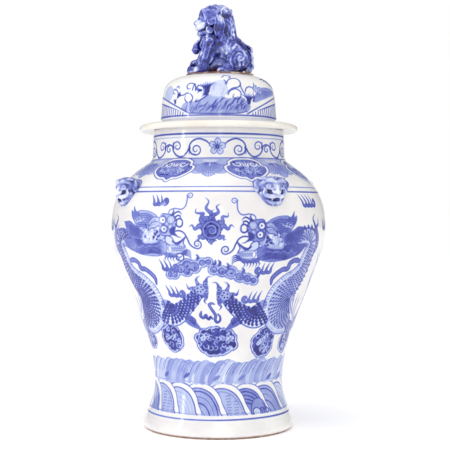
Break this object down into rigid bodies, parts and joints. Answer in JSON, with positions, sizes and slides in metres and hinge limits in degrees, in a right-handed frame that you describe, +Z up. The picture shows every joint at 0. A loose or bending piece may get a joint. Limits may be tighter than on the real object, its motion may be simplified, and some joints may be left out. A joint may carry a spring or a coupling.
{
  "type": "ginger jar",
  "caption": "Tall lidded porcelain baluster jar with blue painted dragons, lion masks on its shoulder and a guardian lion on its domed lid.",
  "frame": {"origin": "centre of the foot ring's resting face, on the jar's turning axis", "axes": "+Z up along the turning axis; the painted front faces -Y and the lion on the lid looks along -X"},
  "size_m": [0.3086, 0.3086, 0.6099],
  "materials": {
    "foot_porcelain": "glossy white glaze, wiped bare to brown biscuit on the resting edge",
    "glazed_inside": "glossy plain white glaze",
    "painted_porcelain": "glossy clear glaze over cobalt painting on white",
    "white_glaze": "glossy plain white glaze",
    "mask_glaze": "glossy glaze over pale cobalt wash, darker in the hollows",
    "cobalt_glaze": "glossy glaze over cobalt, pooled dark in the hollows",
    "bare_porcelain": "matt unglazed biscuit, fired brownish"
  },
  "bodies": {
    "jar": {"foot_ring": "foot_porcelain", "base_plate": "glazed_inside", "lower_wall": "painted_porcelain", "flare_wall": "painted_porcelain", "belly_wall": "painted_porcelain", "shoulder_wall": "painted_porcelain", "neck_collar": "painted_porcelain", "lion_mask_1": "mask_glaze", "lion_mask_2": "mask_glaze", "lion_mask_3": "mask_glaze", "lion_mask_4": "mask_glaze"},
    "lid": {"lid_collar": "bare_porcelain", "lid_brim": "white_glaze", "lid_dome": "painted_porcelain", "finial_pad": "bare_porcelain", "lion_torso": "cobalt_glaze", "lion_head": "cobalt_glaze", "lion_mane": "cobalt_glaze", "lion_foreleg_left": "cobalt_glaze", "lion_foreleg_right": "cobalt_glaze", "lion_hindleg_left": "cobalt_glaze", "lion_hindleg_right": "cobalt_glaze", "lion_tail": "cobalt_glaze", "lion_bell": "cobalt_glaze", "lion_ball": "cobalt_glaze"}
  },
  "joints": [
    {"name": "lid_lift", "type": "slide", "parent": "jar", "child": "lid", "axis": [0, 0, 1], "range_m": [0, 0.25]}
  ]
}
